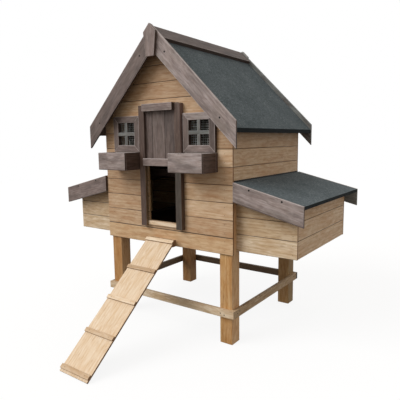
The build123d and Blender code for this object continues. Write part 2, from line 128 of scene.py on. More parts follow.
cameraData = bpy.data.cameras.new("photoCamera")
cameraData.lens = photoCamera["lens"]
cameraData.sensor_width = photoCamera["sensor"]
cameraData.clip_start = photoCamera["nearest"]
camera = bpy.data.objects.new("photoCamera", cameraData)
yaw, pitch, roll = (math.radians(photoCamera[k]) for k in ("yaw", "pitch", "roll"))
ahead = Vector((-math.sin(yaw) * math.cos(pitch), math.cos(yaw) * math.cos(pitch), -math.sin(pitch)))
level = Vector((math.cos(yaw), math.sin(yaw), 0))
upright = level.cross(ahead)
rightward = level * math.cos(roll) + upright * math.sin(roll)
upward = upright * math.cos(roll) - level * math.sin(roll)
turned = Matrix((rightward, upward, -ahead)).transposed().to_4x4()
camera.matrix_world = Matrix.Translation(photoCamera["place"]) @ turned
scene.collection.objects.link(camera)
scene.camera = camera

# a broad soft key from above on the front left, and an even fill from all round; softness in degrees, floor in metres
studio = {
    "keyFrom": (-0.45, -0.66, 0.60),
    "keyStrength": 2.15,
    "keySoftness": 40.0,
    "keyColour": "#FFFFFF",
    "fillColour": "#FFF9F0",
    "fillStrength": 0.7,
    "floorColour": "#6E6C69",
    "floorGlow": 0.88,
    "floorHalf": 9.0,
}

keyData = bpy.data.lights.new("softKey", "SUN")
keyData.energy = studio["keyStrength"]
keyData.angle = math.radians(studio["keySoftness"])
keyData.color = toLinear(studio["keyColour"])[:3]
key = bpy.data.objects.new("softKey", keyData)
key.rotation_euler = Vector(studio["keyFrom"]).to_track_quat("Z", "Y").to_euler()
scene.collection.objects.link(key)

world = bpy.data.worlds.new("evenFill")
world.use_nodes = True
scene.world = world
sky = world.node_tree
sky.nodes.clear()
fill = addNode(sky, "Background", {"Color": studio["fillColour"], "Strength": studio["fillStrength"]})
white = addNode(sky, "Background", {"Color": "#FFFFFF", "Strength": 1.0})
either = addNode(sky, "MixShader", {0: backdropRays(sky), 1: fill, 2: white})
addNode(sky, "OutputWorld", {"Surface": either})

# the floor is grey to the light it sends back up; the camera sees it nearly white, with a faint shadow
floorFinish, tree = newFinish("pale studio floor")
matt = addNode(tree, "BsdfDiffuse", {"Color": studio["floorColour"]})
chalk = addNode(tree, "BsdfDiffuse", {"Color": "#FFFFFF"})
glow = addNode(tree, "Emission", {"Color": "#FFFFFF", "Strength": 1.0})
chalk = addNode(tree, "MixShader", {0: studio["floorGlow"], 1: chalk, 2: glow})
either = addNode(tree, "MixShader", {0: backdropRays(tree), 1: matt, 2: chalk})
addNode(tree, "OutputMaterial", {"Surface": either})
floorMesh = bpy.data.meshes.new("studioFloor")
half = studio["floorHalf"]
floorMesh.from_pydata([(-half, -half, 0), (half, -half, 0), (half, half, 0), (-half, half, 0)], [], [(0, 1, 2, 3)])
floorMesh.materials.append(floorFinish)
floor = bpy.data.objects.new("studioFloor", floorMesh)
scene.collection.objects.link(floor)
print("camera, light and floor set")

# how the figure of the wood lies, in repeats to a metre along and across a board: drifts are 360 by 70 mm, curls
# 60 by 16 mm, flecks 40 by 8 mm and fibres 70 mm by the look's own width, given as None
woodFigure = {"drift": (2.8, 14, {"Detail": 3.0}), "curl": (17, 62, {"Detail": 3.0, "Distortion": 0.8}),
              "fleck": (24, 130, {"Detail": 2.0}), "fibre": (14, None, {"Detail": 4.0, "Roughness": 0.6})}
# patches of colour: width in mm and a place of their own in the noise
woodPatches = {"warm": (55, 0.0), "dry": (30, 7.3), "smudge": (48, 3.1)}
patchAlong = 0.35  # repeats along the board for one across it
# levels of a noise between which patches and flecks come on, and the dirt along an edge goes from thin to whole
patchLevels = {"From Min": 0.45, "From Max": 0.66}
fleckLevels = {"From Min": 0.62, "From Max": 0.74}
dirtLevels = {"From Min": 0.35, "From Max": 0.6, "To Min": 0.55}
# shape of a knot's cell, its dark heart and the swelling round it as shares of its size, and how far it bends rings, in mm
knotForm = {"cell": (0.8, 1, 0.35), "heart": 0.3, "swelling": 3.2, "bend": 16.0}


# Spruce as a planer leaves it. Every board carries its own place in a log (grain), so rings show as long
# arches on the face and as arcs on the ends, with knots, fibre streaks and a tone of its own.
def planedSpruce(look):
    finish, tree = newFinish(look["name"])
    grain = addNode(tree, "Attribute", attribute_name="grain").outputs["Vector"]
    board = addNode(tree, "Attribute", attribute_name="board").outputs["Vector"]
    board = addNode(tree, "SeparateXYZ", {0: board})  # way in from the lower and the upper long edge, tone
    cut = addNode(tree, "Attribute", attribute_name="cut").outputs["Vector"]
    cut = addNode(tree, "SeparateXYZ", {0: cut})  # 1 on sawn ends, on eased arrises and on edges
    noise = {}
    for name, (along, across, settings) in woodFigure.items():
        across = across or 1000 / look[name]
        place = addNode(tree, "VectorMath", {1: (along, across, across), 0: grain}, operation="MULTIPLY")
        noise[name] = addNode(tree, "TexNoise", {"Scale": 1.0, **settings, "Vector": place})

    # knots: one to a cell, and only in some cells
    step = look["knotStep"] / 1000
    place = addNode(tree, "VectorMath", {1: [side / step for side in knotForm["cell"]], 0: grain}, operation="MULTIPLY")
    cell = addNode(tree, "TexVoronoi", {"Scale": 1.0, "Vector": place})
    luck = addNode(tree, "SeparateXYZ", {0: cell.outputs["Color"]})
    there = addNode(tree, "Math", {1: 1 - look["knotShare"], 0: luck.outputs[0]}, operation="GREATER_THAN")
    size = look["knotSize"] / look["knotStep"]
    knots = []
    for least, most, depth in ((knotForm["heart"], 1, look["knotDepth"]), (0, knotForm["swelling"], 1)):
        reach = {"From Min": least * size, "From Max": most * size, "To Min": depth, "To Max": 0.0}
        knot = addNode(tree, "MapRange", {**reach, "Value": cell.outputs["Distance"]}, interpolation_type="SMOOTHSTEP")
        knots.append(addNode(tree, "Math", {0: knot, 1: there}, operation="MULTIPLY"))
    core, swell = knots

    # growth rings round the pith, wandering a little and swelling round the knots
    radius = addNode(tree, "VectorMath", {1: (0, 1, 1), 0: grain}, operation="MULTIPLY")
    radius = addNode(tree, "VectorMath", {0: radius}, operation="LENGTH")
    radius = addNode(tree, "Math", {1: look["wander"] / 1000, 0: noise["drift"], 2: radius.outputs["Value"]},
                     operation="MULTIPLY_ADD")
    radius = addNode(tree, "Math", {1: knotForm["bend"] / 1000, 0: swell, 2: radius}, operation="MULTIPLY_ADD")
    ring = addNode(tree, "Math", {1: 1000 / look["ring"], 0: radius}, operation="MULTIPLY")
    ring = addNode(tree, "Math", {0: ring}, operation="FRACT")
    early, late = look["earlyWood"], look["lateWood"]  # late wood comes on slowly and ends sharply
    wood = addNode(tree, "ValToRGB", {0: ring},
                   stops=[(0.0, early), (0.4, early), (0.84, late), (0.94, late), (1.0, early)])

    # warm stretches, dry pale ones and, on stained work, dark smudges, each longer than it is wide
    for colour, (wide, shift) in woodPatches.items():
        repeats = (1000 * patchAlong / wide, 1000 / wide, 1000 / wide)
        stretch = addNode(tree, "VectorMath", {1: repeats, 2: (shift, shift, 0), 0: grain}, operation="MULTIPLY_ADD")
        stretch = addNode(tree, "TexNoise", {"Scale": 1.0, "Detail": 4.0, "Roughness": 0.6, "Vector": stretch})
        stretch = addNode(tree, "MapRange", {**patchLevels, "To Max": look[colour + "Share"], "Value": stretch})
        wood = addNode(tree, "Mix", {7: look[colour], 0: stretch, 6: wood}, data_type="RGBA").outputs[2]

    # fibre streaks, finer than the rings, a soft curl across them, and here and there a short dark resin fleck
    for pattern, colour in (("fibre", "streak"), ("curl", "mottle")):
        streak = addNode(tree, "ValToRGB", {0: noise[pattern]}, stops=[(0.34, look[colour]), (0.62, "#FFFFFF")])
        wood = addNode(tree, "Mix", {0: 1.0, 6: wood, 7: streak}, data_type="RGBA", blend_type="MULTIPLY").outputs[2]
    fleck = addNode(tree, "MapRange", {**fleckLevels, "To Max": look["fleckShare"], "Value": noise["fleck"]})
    wood = addNode(tree, "Mix", {7: look["knot"], 0: fleck, 6: wood}, data_type="RGBA").outputs[2]

    # each board's own tone
    tone = addNode(tree, "ValToRGB", {0: board.outputs[2]},
                   stops=[(0.0, look["toneLow"]), (0.5, look["toneMid"]), (1.0, "#FFFFFF")])
    wood = addNode(tree, "Mix", {0: 1.0, 6: wood, 7: tone}, data_type="RGBA", blend_type="MULTIPLY").outputs[2]
    wood = addNode(tree, "Mix", {7: look["knot"], 0: core, 6: wood}, data_type="RGBA").outputs[2]

    # long edges hold dirt in board joints and wear pale on trim; ends drink more finish, arrises are rubbed
    inward = addNode(tree, "Math", {0: board.outputs[0], 1: board.outputs[1]}, operation="MINIMUM")
    rim = addNode(tree, "MapRange", {"From Min": look["edgeFrom"] / 1000, "From Max": look["edgeWidth"] / 1000,
                                     "To Min": look["edgeShare"], "To Max": 0.0, "Value": inward})
    broken = addNode(tree, "MapRange", {**dirtLevels, "Value": noise["curl"]})
    rim = addNode(tree, "Math", {0: rim, 1: broken}, operation="MULTIPLY")
    # a dark band along one long edge: painted shade under the lower edge of some trim, and a dark line along the
    # skirt's top
    darkBand = addNode(tree, "MapRange", {"From Min": look["darkBandWidth"] / 2000, "From Max": look["darkBandWidth"] / 1000,
                                     "To Min": look["darkBandShare"], "To Max": 0.0, "Value": board.outputs[look["darkBandFrom"]]})
    ends = addNode(tree, "Math", {1: look["endShare"], 0: cut.outputs[0]}, operation="MULTIPLY")
    rubbed = addNode(tree, "Math", {1: look["arrisShare"], 0: cut.outputs[1]}, operation="MULTIPLY")
    for share, colour in ((rim, "edge"), (darkBand, "darkBand"), (ends, "end"), (rubbed, "arris")):
        wood = addNode(tree, "Mix", {7: look[colour], 0: share, 6: wood}, data_type="RGBA").outputs[2]

    # late wood and fibres stand up a little and shine a little more
    height = addNode(tree, "Math", {1: look["ringRelief"], 0: ring, 2: noise["fibre"]}, operation="MULTIPLY_ADD")
    closeFinish(tree, look, wood, noise["fibre"], height)
    return finish


# Rings of spruce are 2 to 4 mm apart and its fibres under 1 mm, both too fine to show from here, so rings are drawn
# 12 or 15 mm apart and fibres 5 or 6 mm wide. Sizes are in mm; the dark band's side is 0 for the lower edge and 1 for
# the upper.
planed = {"ring": 12.0, "wander": 34.0, "fibre": 5.0, "knotStep": 210.0, "knotSize": 15.0, "knotShare": 0.5,
          "knotDepth": 0.85, "fleckShare": 0.3, "smudge": "#000000", "smudgeShare": 0.0, "edgeFrom": 0.8, "edgeWidth": 2.0,
          "edgeShare": 0.2, "darkBand": "#000000", "darkBandShare": 0.0, "darkBandWidth": 1.0, "darkBandFrom": 0, "endShare": 0.5,
          "arrisShare": 0.25, "rough": {"From Min": 0.3, "From Max": 0.7, "To Min": 0.71, "To Max": 0.57}, "shine": 0.38,
          "bump": 0.35, "relief": 0.7, "ringRelief": 0.6}
spruceLooks = {
    # clear-oiled frame timber: honey, warm in patches
    "honey": {**planed, "name": "spruce planed clear oiled", "earlyWood": "#DFC9AE", "lateWood": "#CFB292",
              "warm": "#C9A27D", "warmShare": 0.5, "dry": "#E8D8C4", "dryShare": 0.4, "streak": "#F5EFE8",
              "mottle": "#ECE4DA", "toneLow": "#CDC0B3", "toneMid": "#EBE4DC", "knot": "#7A5638", "edge": "#8A6847",
              "end": "#724C29", "arris": "#DCC4A2"},
    # the same, greyed by weather: rails and nest boxes
    "grey": {**planed, "name": "spruce planed weathered", "earlyWood": "#E0CFB6", "lateWood": "#CDB899",
             "warm": "#C9A981", "warmShare": 0.4, "dry": "#E9DECD", "dryShare": 0.45, "streak": "#F2ECE4",
             "mottle": "#E8DFD5", "toneLow": "#C2B3A1", "toneMid": "#E6DDD2", "knot": "#765539", "edge": "#8A6F54",
             "end": "#8C6840", "arris": "#DCCAB0"},
    # legs: heartwood, more orange, same oil
    "orange": {**planed, "name": "spruce heartwood planed clear oiled", "earlyWood": "#D9B582", "lateWood": "#C59A62",
               "warm": "#C08C50", "warmShare": 0.6, "dry": "#E0C7A2", "dryShare": 0.4, "streak": "#E9DCCB",
               "mottle": "#E6DACA", "toneLow": "#B9A994", "toneMid": "#E6DACB", "knot": "#754C2A", "edge": "#8F6840",
               "end": "#8A5E34", "endShare": 0.6, "arris": "#D9B888"},
    # ramp and sill: bare sapwood, pale cream
    "pale": {**planed, "name": "spruce sapwood planed bare", "earlyWood": "#F1E5D3", "lateWood": "#E7D4BA",
             "warm": "#E4CBA8", "warmShare": 0.5, "dry": "#F6EBDB", "dryShare": 0.5, "streak": "#F8F3EC",
             "mottle": "#F3EBE0", "toneLow": "#BFAE9C", "toneMid": "#DDD1C4", "knot": "#A67A52", "knotDepth": 0.8,
             "fleckShare": 0.35, "edge": "#8F6A48", "edgeShare": 0.35, "end": "#8A6648", "endShare": 0.7,
             "arris": "#DEC7A6", "arrisShare": 0.3, "ring": 15.0, "wander": 44.0, "fibre": 6.0, "knotStep": 190.0,
             "knotSize": 12.0, "knotShare": 0.6},
    # trim under a thin grey-brown stain: pinkish where it is thin, smudged, rubbed pale along the edges
    "stained": {**planed, "name": "spruce planed grey stained", "earlyWood": "#A89D9B", "lateWood": "#948886",
                "warm": "#8A827B", "warmShare": 0.6, "dry": "#B8ACAA", "dryShare": 0.6, "smudge": "#6A605D",
                "smudgeShare": 0.7, "streak": "#E8E3E0", "mottle": "#E4DEDA", "toneLow": "#948983", "toneMid": "#D3CBC7",
                "knot": "#4A3F3A", "edge": "#B7AEAC", "edgeShare": 0.55, "edgeWidth": 4.0, "end": "#54463F",
                "endShare": 0.7, "arris": "#BDB2AF", "arrisShare": 0.5, "knotStep": 300.0, "knotShare": 0.3},
    # the door's tracks, stained thick and red-brown; the same dark finish is painted shade on the sides and undersides
    # of trim, on faces inside the house and on the perches
    "thickStainAndShade": {**planed, "name": "spruce planed thick stain", "earlyWood": "#645249", "lateWood": "#504038",
                   "warm": "#564336", "warmShare": 0.6, "dry": "#6E5F56", "dryShare": 0.4, "streak": "#D8CFCA",
                   "mottle": "#D8CFCA", "toneLow": "#B9ADA6", "toneMid": "#E8E0DC", "knot": "#33261F", "edge": "#3A2D26",
                   "edgeShare": 0.4, "edgeWidth": 2.5, "end": "#3F3029", "endShare": 0.7, "arris": "#74645A",
                   "arrisShare": 0.3, "knotStep": 300.0, "knotShare": 0.3},
}
# what oil, sun, splashes and dirt made of them, and copies darkened as painted shade or lightened as painted light: the
# look before, name, early and late wood, warm and dry stretches, more
changedLooks = {
    # sides of the front legs: warmer and paler than their fronts
    "amber": ("honey", "spruce planed oiled twice", "#E8C499", "#D7AE80", "#D19E6E", "#F2D3AC", {}),
    # rear barge boards, silvered on the roof, their tails below the eave painted dark with the shade under it; window
    # bars are silvered too
    "silvered": ("stained", "spruce planed grey stained silvered", "#9FA4A4", "#8B9090", "#838686", "#ACB1B1",
                 {"toneLow": "#8C8B88", "toneMid": "#CECDCA", "edge": "#989C9C", "edgeShare": 0.3, "arris": "#A4A9A9",
                  "arrisShare": 0.3}),
    "shadedUnderEave": ("thickStainAndShade", "spruce planed thick stain darkened", "#848688", "#686A6C", "#6F7173", "#999C9F",
                 {"edge": "#3A3A3B", "arris": "#999C9F"}),
    # the door's tracks: greened by splashes at the right foot; their outer sides are red-brown below the door's foot,
    # and paler above it, which is painted light against the shade that the frame and barge cast there
    "greened": ("thickStainAndShade", "spruce planed thick stain greened", "#4B443C", "#3C352E", "#40382E", "#524C43", {}),
    "paintedLightHigh": ("stained", "spruce planed thin stain", "#89746E", "#79645E", "#705F56", "#978079",
                {"smudge": "#564640", "edge": "#89746E", "arris": "#978079"}),
    "reddened": ("thickStainAndShade", "spruce planed thin stain reddened", "#6D5640", "#59442F", "#523C2A", "#77614A", {}),
    # ramp faces that mud and dirty feet reach and that face away from the light, darkened as mud and as painted shade:
    # undersides, edges and the lower side of each cleat
    "soiledAndShaded": ("pale", "spruce sapwood planed soiled", "#8E7154", "#755940", "#6B4F38", "#9C8062", {"arrisShare": 0.1}),
    # rails at the back and on the left, and the sides of the back right leg, out of the sun under the house: darker
    # copies, painted shade; the tracks' inner faces by the pop hole take the same dark grey
    "darkGrey": ("grey", "spruce planed weathered damp", "#8A7862", "#75634F", "#6B5843", "#94836E",
             {"arris": "#8E7C66", "end": "#231E19", "endShare": 0.95}),
    "dullShaded": ("grey", "spruce planed weathered dull", "#A89067", "#967F58", "#8E774C", "#B49F7A", {"arris": "#A38C65"}),
    "tawny": ("orange", "spruce heartwood planed weathered", "#D6BB90", "#C2A172", "#BC9662", "#DECBAA", {}),
}
for look, (was, name, early, late, warm, dry, more) in changedLooks.items():
    spruceLooks[look] = {**spruceLooks[was], "name": name, "earlyWood": early, "lateWood": late, "warm": warm, "dry": dry,
                         **more}
# trim with a dark band along its lower edge: painted shade under that edge
spruceLooks["shadedLowEdge"] = {**spruceLooks["stained"], "name": "spruce planed grey stained shaded lower edge", "darkBand": "#40322A",
                           "darkBandShare": 0.8, "darkBandWidth": 7.0}
# tongued and grooved boards, with dark dirt in the joints; the skirt is darker along its top, where it meets the wall,
# the nest boxes' sides are close jointed and hold little dirt
dirt = {"edge": "#26190F", "edgeShare": 0.95, "edgeWidth": 2.7, "endShare": 0.75, "arrisShare": 0.1}
for look, made in (("honey", "clear oiled"), ("grey", "weathered"), ("stained", "grey stained")):
    spruceLooks[look + "Boards"] = {**spruceLooks[look], **dirt, "name": "spruce boards planed " + made}
spruceLooks["skirtBoards"] = {**spruceLooks["honeyBoards"], "name": "spruce boards planed clear oiled dark top edge",
                              "toneMid": "#E7DBC9", "darkBand": "#2A1A0E", "darkBandShare": 0.9, "darkBandWidth": 4.0, "darkBandFrom": 1}
spruceLooks["tightBoards"] = {**spruceLooks["honeyBoards"], "name": "spruce boards planed close jointed",
                              "edge": "#4E3821", "edgeShare": 0.75, "edgeWidth": 2.2}
finishes = {name: planedSpruce(look) for name, look in spruceLooks.items()}
print("spruce finishes made")

# Bitumen felt with crushed slate rolled into it: dark, matt, gritty, worn to bitumen on its folded edge.
# Slate grit is about 1.5 mm, too fine to show from here, so it is drawn 6 mm wide.
slateFelt = {"slate": "#5A6266", "dark": "#484F53", "light": "#737B7F", "shade": "#D4D8D8", "edge": "#090C0D",
             "edgeShare": 0.95, "grit": 6.0, "cloud": 160.0, "bump": 0.6, "relief": 1.2,
             "rough": {"To Min": 0.8, "To Max": 0.96}, "shine": 0.14}
finishes["felt"], tree = newFinish("bitumen felt slate gritted")
grain = addNode(tree, "Attribute", attribute_name="grain").outputs["Vector"]
cut = addNode(tree, "Attribute", attribute_name="cut").outputs["Vector"]
cut = addNode(tree, "SeparateXYZ", {0: cut})
grit = addNode(tree, "TexVoronoi", {"Scale": 1000 / slateFelt["grit"], "Vector": grain})
flake = addNode(tree, "SeparateXYZ", {0: grit.outputs["Color"]})
slate = addNode(tree, "ValToRGB", {0: flake.outputs[0]}, stops=[(0.0, slateFelt["dark"]), (0.35, slateFelt["slate"]),
                                                                (0.8, slateFelt["slate"]), (1.0, slateFelt["light"])])
cloud = addNode(tree, "TexNoise", {"Scale": 1000 / slateFelt["cloud"], "Detail": 4.0, "Roughness": 0.65, "Vector": grain})
cloud = addNode(tree, "ValToRGB", {0: cloud}, stops=[(0.3, slateFelt["shade"]), (0.7, "#FFFFFF")])
slate = addNode(tree, "Mix", {0: 1.0, 6: slate, 7: cloud}, data_type="RGBA", blend_type="MULTIPLY")
bare = addNode(tree, "Math", {1: slateFelt["edgeShare"], 0: cut.outputs[2]}, operation="MULTIPLY")
slate = addNode(tree, "Mix", {7: slateFelt["edge"], 0: bare, 6: slate.outputs[2]}, data_type="RGBA")
closeFinish(tree, slateFelt, slate.outputs[2], flake.outputs[1], flake.outputs[2])


# Plywood: rotary-cut face veneer with wide lazy figure, or a film over it, and bands of plies on the sawn edges.
# Plies are 2.4 mm and are drawn at that size. The figure is 26 mm wide, and 2.2 repeats to a metre are 450 mm long.
def cutPlywood(name, look):
    finish, tree = newFinish(name)
    grain = addNode(tree, "Attribute", attribute_name="grain").outputs["Vector"]
    cut = addNode(tree, "Attribute", attribute_name="cut").outputs["Vector"]
    cut = addNode(tree, "SeparateXYZ", {0: cut})
    repeats = (look["alongRepeats"], 1000 / look["figure"], look["intoRepeats"])
    drift = addNode(tree, "VectorMath", {1: repeats, 0: grain}, operation="MULTIPLY")
    drift = addNode(tree, "TexNoise", {"Scale": 1.0, "Detail": 3.0, "Distortion": 1.2, "Vector": drift})
    veneer = addNode(tree, "ValToRGB", {0: drift},
                     stops=[(0.35, look["pale"]), (0.52, look["dark"]), (0.6, look["pale"]), (0.72, look["dark"])])
    depth = addNode(tree, "SeparateXYZ", {0: grain})
    plies = addNode(tree, "Math", {1: math.pi * 1000 / look["ply"], 0: depth.outputs[2]}, operation="MULTIPLY")
    plies = addNode(tree, "Math", {0: plies}, operation="SINE")
    plies = addNode(tree, "MapRange", {"From Min": -look["glueFade"], "From Max": look["glueFade"], "Value": plies})
    edgeWood = addNode(tree, "Mix", {6: look["edge"], 7: look["glueLine"], 0: plies}, data_type="RGBA")
    veneer = addNode(tree, "Mix", {0: cut.outputs[2], 6: veneer, 7: edgeWood.outputs[2]}, data_type="RGBA")
    closeFinish(tree, look, veneer.outputs[2], drift, drift)
    return finish


barePly = {"pale": "#D9BC92", "dark": "#C09A69", "edge": "#D9BC92", "glueLine": "#7B5A38", "glueFade": 0.4, "ply": 2.4,
           "figure": 26.0, "alongRepeats": 2.2, "intoRepeats": 30, "bump": 0.3, "relief": 0.6, "shine": 0.35,
           "rough": {"To Min": 0.6, "To Max": 0.8}}
# washable phenolic film: dark, a little glossy; its darkness also paints the shade inside the house
filmPly = {**barePly, "pale": "#2C211B", "dark": "#231A15", "rough": {"To Min": 0.4, "To Max": 0.6}}
# a brown, matt copy of the plywood: painted shade on the roof deck's underside, under the eaves
shadedPly = {**barePly, "pale": "#4A3A31", "dark": "#3A2D26", "edge": "#4A3A31", "glueLine": "#2C221C"}  # brown, matt
finishes["ply"] = cutPlywood("spruce plywood rotary cut", barePly)
finishes["shadedPly"] = cutPlywood("spruce plywood brown painted shade", shadedPly)
finishes["filmPly"] = cutPlywood("spruce plywood film faced", filmPly)

# Steel dipped in zinc and left out in the rain: a soft spangle of crystals about 9 mm across, dulled by a chalky bloom,
# so that no crystal is quite as bright as bare metal.
zincSteel = {"bright": "#D6D7D3", "dull": "#B9BBB7", "spangle": 9.0, "bump": 0.15, "relief": 0.3,
             "rough": {"To Min": 0.38, "To Max": 0.6}, "metal": {"To Min": 0.25, "To Max": 0.7}}
finishes["zinc"], tree = newFinish("mild steel hot dip zinc bloomed")
place = addNode(tree, "TexCoord")
crystal = addNode(tree, "TexVoronoi", {"Scale": 1000 / zincSteel["spangle"], "Vector": place.outputs["Object"]})
facet = addNode(tree, "SeparateXYZ", {0: crystal.outputs["Color"]})
zinc = addNode(tree, "Mix", {6: zincSteel["dull"], 7: zincSteel["bright"], 0: facet.outputs[0]}, data_type="RGBA")
rough = addNode(tree, "MapRange", {**zincSteel["rough"], "Value": facet.outputs[1]})
bump = addNode(tree, "Bump", {"Strength": zincSteel["bump"], "Distance": zincSteel["relief"] / 1000,
                              "Height": facet.outputs[2]})
metal = addNode(tree, "MapRange", {**zincSteel["metal"], "Value": facet.outputs[0]})
surface = addNode(tree, "BsdfPrincipled", {"Base Color": zinc.outputs[2], "Metallic": metal, "Roughness": rough,
                                           "Normal": bump})
addNode(tree, "OutputMaterial", {"Surface": surface})

# Brown lacquer over pressed steel: nearly black, half matt, with rubbed spots a few millimetres across,
# and dry mud within some 60 mm of the ramp's hinge, farther along its pin. On the nest lids' hinges the near-black
# also paints the shade in the gap where each lid meets the wall.
brownLacquer = {"lacquer": "#120D0A", "rubbed": "#2A221D", "rubbedShare": 0.8, "spot": 5.0, "bump": 0.2, "relief": 0.3,
                "rough": {"To Min": 0.45, "To Max": 0.67}, "shine": 0.2, "mud": "#A88D6C", "mudShare": 0.85,
                "mudMiddle": (0.0, -0.139, 0.5305), "mudSpread": (0.35, 1, 1), "mudSolid": 48.0, "mudReach": 60.0}
finishes["lacquer"], tree = newFinish("pressed steel brown lacquer")
place = addNode(tree, "TexCoord")
spot = addNode(tree, "TexNoise", {"Scale": 1000 / brownLacquer["spot"], "Detail": 3.0, "Vector": place.outputs["Object"]})
worn = addNode(tree, "MapRange", {"From Min": 0.58, "From Max": 0.72, "To Max": brownLacquer["rubbedShare"],
                                  "Value": spot})
coat = addNode(tree, "Mix", {6: brownLacquer["lacquer"], 7: brownLacquer["rubbed"], 0: worn}, data_type="RGBA")
away = addNode(tree, "VectorMath", {1: brownLacquer["mudSpread"], 0: place.outputs["Object"]}, operation="MULTIPLY")
away = addNode(tree, "VectorMath", {1: brownLacquer["mudMiddle"], 0: away}, operation="DISTANCE")
mud = addNode(tree, "MapRange", {"From Min": brownLacquer["mudSolid"] / 1000, "From Max": brownLacquer["mudReach"] / 1000,
                                 "To Min": brownLacquer["mudShare"], "To Max": 0.0, "Value": away.outputs["Value"]})
coat = addNode(tree, "Mix", {7: brownLacquer["mud"], 0: mud, 6: coat.outputs[2]}, data_type="RGBA")
closeFinish(tree, brownLacquer, coat.outputs[2], spot, spot)
print("felt, plywood, zinc and lacquer finishes made")

gridSteps, gridSize = 1e5, 1e-5  # corners are matched on a grid of 0.01 mm


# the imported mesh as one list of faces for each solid: a solid is whole when no edge is left open
def solidsOf(mesh):
    place = [tuple(round(c * gridSteps) for c in v.co) for v in mesh.vertices]
    solids, faces, openEdges = [], [], set()
    for polygon in mesh.polygons:
        corners = [place[i] for i in polygon.vertices]
        faces.append(corners)
        for edge in zip(corners, corners[1:] + corners[:1]):
            if edge[::-1] in openEdges:
                openEdges.remove(edge[::-1])
            else:
                openEdges.add(edge)
        if not openEdges:
            solids.append(faces)
            faces = []
    return solids


def addPiece(name, body, coats, points, faces, replaced=None):
    mesh = bpy.data.meshes.new(name)
    mesh.from_pydata(points, [], faces)
    for coat in coats:
        mesh.materials.append(coat)
    piece = bpy.data.objects.new(name, mesh)
    scene.collection.objects.link(piece)
    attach(piece, body)
    if replaced:
        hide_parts(replaced)
    return mesh


# where a board lay in its log, in metres: how far along, pith off to one side, below the face, and not quite parallel
logCut = {"alongMost": 20, "pithAcross": 0.045, "pithDeepLeast": 0.018, "pithDeepMost": 0.07, "lean": 0.022}
# faces within flat degrees are one; arrises over sharp degrees and some radii long are eased; slivers are closed, in metres
easing = {"flat": 1, "sharp": 25, "leastRadii": 4, "segments": 2, "sliver": 2e-6}
# an end's normal lies more than this along the board and a flank's less; an edge's lies less than this into it
boardFaces = {"end": 0.6, "flank": 0.1, "edge": 0.75}
toneSpread = 0.05  # luck added to a tone
# tones, solid by solid, of pieces darker or paler than their neighbours: 0 is darkest; some low tones are painted
# shade: the wall boards under the eaves and in the left barge's shadow, the left window frame's top rail, and the back
# left leg and the rear rail under the house
boardTonesAndShade = {"leg_front_left": [0.48], "leg_front_right": [0.8], "leg_back_left": [0.05], "leg_back_right": [0.6],
              "barge_front": [0.87, 0.2], "barge_back": [0.55, 0.3], "finials": [0.5, 0.5], "ridge_caps": [0.06, 0.3],
              "lid_barges_right": [0.85, 0.75], "lid_barges_left": [0.36, 0.5], "planter_left": [0.7, 0.5, 0.5, 0.5, 0.5],
              "planter_right": [1.0, 0.5, 0.5, 0.5, 0.5], "window_frame_right": [0.95, 0.12, 0.62, 0.22],
              "window_frame_left": [0.1, 0.24, 0.52, 0.2], "window_bars": [0.42, 0.2, 0.31, 0.47],
              "pop_door_boards": [0.12, 0.2, 0.16], "pop_door_battens": [0.6, 0.55], "rails_cross": [0.8, 0.1],
              "rails_side": [0.25, 0.35], "ramp_plank": [0.68], "ramp_cleats": [0.8, 0.15, 0.7, 0.4, 0.25],
              "door_sill": [0.65],
              "front_wall_boards": [0.25, 0.2, 0.53, 0.0, 0.35, 0.0, 0.65, 0.0, 0.35, 0.4, 0.03, 0.0, 0.05, 0.05],
              "right_wall_boards": [0.6, 0.4, 0.38, 0.1, 0.0, 0.15], "skirt_boards": [0.55, 0.45],
              "nest_boards_right": [0.8, 0.45, 0.35, 0.2, 0.7, 0.35, 0.8, 0.1, 0.8, 0.76, 0.45],
              "nest_boards_left": [0.78, 0.5, 0.15, 0.4, 0.1, 0.45, 0.2, 0.4, 0.9, 0.85, 0.2]}
boardFrames = {}
eave = min(v.co.z for v in nodes["roof_felt_right"].data.vertices)
doorFoot = 0.96  # height of the raised door's foot, in metres
cutLines = {"barge_back": eave, "door_tracks": doorFoot}  # heights of a line across a piece, where its finish changes


